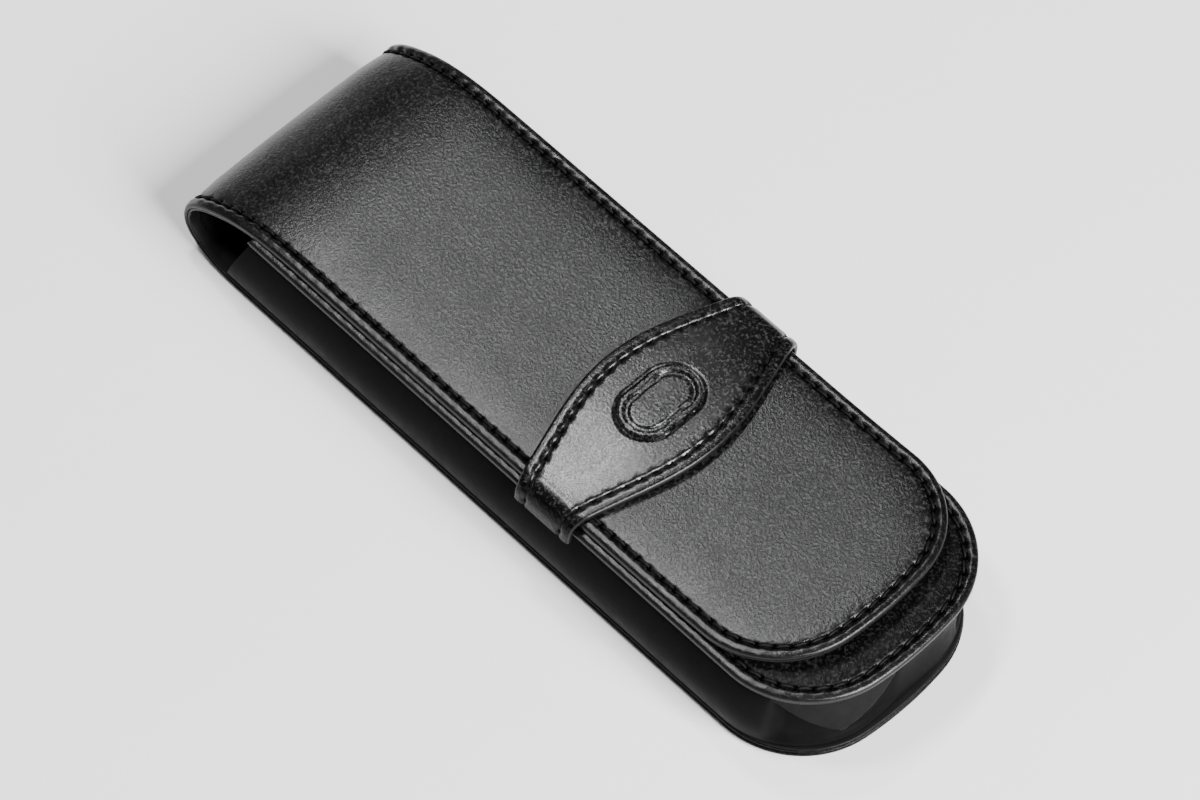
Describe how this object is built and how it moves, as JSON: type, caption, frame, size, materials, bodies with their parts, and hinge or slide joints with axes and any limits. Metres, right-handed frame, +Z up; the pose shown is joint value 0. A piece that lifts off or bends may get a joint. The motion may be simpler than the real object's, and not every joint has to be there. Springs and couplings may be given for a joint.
{
  "type": "fountain pen case",
  "caption": "Flat leather pen case with a soft gusset, a lined loop-over flap and a sewn retaining band that the flap tip tucks under.",
  "frame": {"origin": "on the table under the middle of the case's box", "axes": "+X along the length to the rounded end, away from the mouth and its loop; +Y across the case; +Z up, from the back panel to the flap"},
  "size_m": [0.1722, 0.0602, 0.0251],
  "materials": {
    "leather": "semi-gloss fine grain",
    "lining": "matt smooth",
    "board": "matt",
    "thread": "waxed"
  },
  "bodies": {
    "root": {"back_leather": "leather", "back_stiffener": "board", "back_lining": "lining", "back_thread": "thread", "gusset": "leather", "gusset_hem_near": "leather", "gusset_hem_far": "leather", "front_leather": "leather", "front_stiffener": "board", "front_lining": "lining", "front_thread": "thread", "divider": "lining", "band_leather": "leather", "band_lining": "lining", "band_thread_upper": "thread", "band_thread_lower": "thread"},
    "spine_1": {"spine_leather_1": "leather", "spine_lining_1": "lining", "spine_thread_1": "thread"},
    "spine_2": {"spine_leather_2": "leather", "spine_lining_2": "lining", "spine_thread_2": "thread"},
    "spine_3": {"spine_leather_3": "leather", "spine_lining_3": "lining", "spine_thread_3": "thread"},
    "flap": {"flap_leather": "leather", "flap_stiffener": "board", "flap_lining": "lining", "flap_thread": "thread"}
  },
  "joints": [
    {"name": "flap_open", "type": "hinge", "parent": "root", "child": "spine_1", "pos_m": [-0.0764, 0, 0], "axis": [0, -1, 0], "range_deg": [0, 31.74], "deforming": ["band_leather", "band_lining", "band_thread_upper", "band_thread_lower"]},
    {"name": "loop_fold_low", "type": "hinge", "parent": "spine_1", "child": "spine_2", "pos_m": [-0.0861, 0, 0.006], "axis": [0, -1, 0], "range_deg": [0, 67.3]},
    {"name": "loop_fold_high", "type": "hinge", "parent": "spine_2", "child": "spine_3", "pos_m": [-0.0847, 0, 0.0148], "axis": [0, -1, 0], "range_deg": [0, 57.03]},
    {"name": "flap_fold", "type": "hinge", "parent": "spine_3", "child": "flap", "pos_m": [-0.0669, 0, 0.0227], "axis": [0, -1, 0], "range_deg": [0, 23.93]}
  ],
  "couplings": [
    {"joint": "loop_fold_low", "follows": "flap_open", "ratio": 2.1204},
    {"joint": "loop_fold_high", "follows": "flap_open", "ratio": 1.7968},
    {"joint": "flap_fold", "follows": "flap_open", "ratio": 0.75404}
  ]
}
